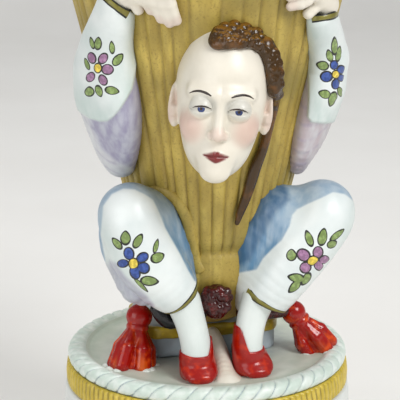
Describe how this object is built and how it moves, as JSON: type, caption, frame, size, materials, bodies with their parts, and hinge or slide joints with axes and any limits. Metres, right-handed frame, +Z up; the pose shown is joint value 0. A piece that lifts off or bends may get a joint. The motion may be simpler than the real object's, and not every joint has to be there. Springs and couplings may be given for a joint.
{
  "type": "figural bisque vase",
  "caption": "Bisque vase: an acrobat in white trousers squats on a drum and holds a tall ochre vase with upright staves on the back.",
  "frame": {"origin": "centre of the drum's flat underside, on the surface it stands on", "axes": "+Z up along the axis of drum and vase; the figure faces -Y, so +X is the viewer's right"},
  "size_m": [0.117, 0.1292, 0.2111],
  "materials": {
    "white_bisque": "unglazed bisque porcelain, smooth and slightly satin",
    "mint_bisque": "bisque with a thin pale green wash",
    "yellow_enamel": "bisque with fired yellow enamel",
    "ochre_bisque": "bisque with a stippled ochre wash",
    "flesh_bisque": "bisque with pale flesh tinting",
    "hair_enamel": "glossy brown fired enamel",
    "red_enamel": "glossy red fired enamel",
    "maroon_enamel": "glossy maroon fired enamel"
  },
  "bodies": {
    "root": {"drum_shell": "white_bisque", "drum_base": "white_bisque", "drum_band": "yellow_enamel", "drum_rope_rim": "mint_bisque", "drum_top": "mint_bisque", "seat_plinth": "white_bisque", "seat_band": "yellow_enamel", "foot_web": "mint_bisque", "vase_body": "ochre_bisque", "head": "flesh_bisque", "hair_crown": "hair_enamel", "queue_braid": "hair_enamel", "sash_rosette": "maroon_enamel", "sash_cord_left": "maroon_enamel", "sash_cord_right": "maroon_enamel", "tassel_left": "red_enamel", "tassel_right": "red_enamel", "arm_left": "white_bisque", "arm_right": "white_bisque", "hand_left": "flesh_bisque", "hand_right": "flesh_bisque", "leg_left": "white_bisque", "leg_right": "white_bisque", "ankle_left": "flesh_bisque", "ankle_right": "flesh_bisque", "slipper_left": "red_enamel", "slipper_right": "red_enamel"}
  },
  "joints": []
}
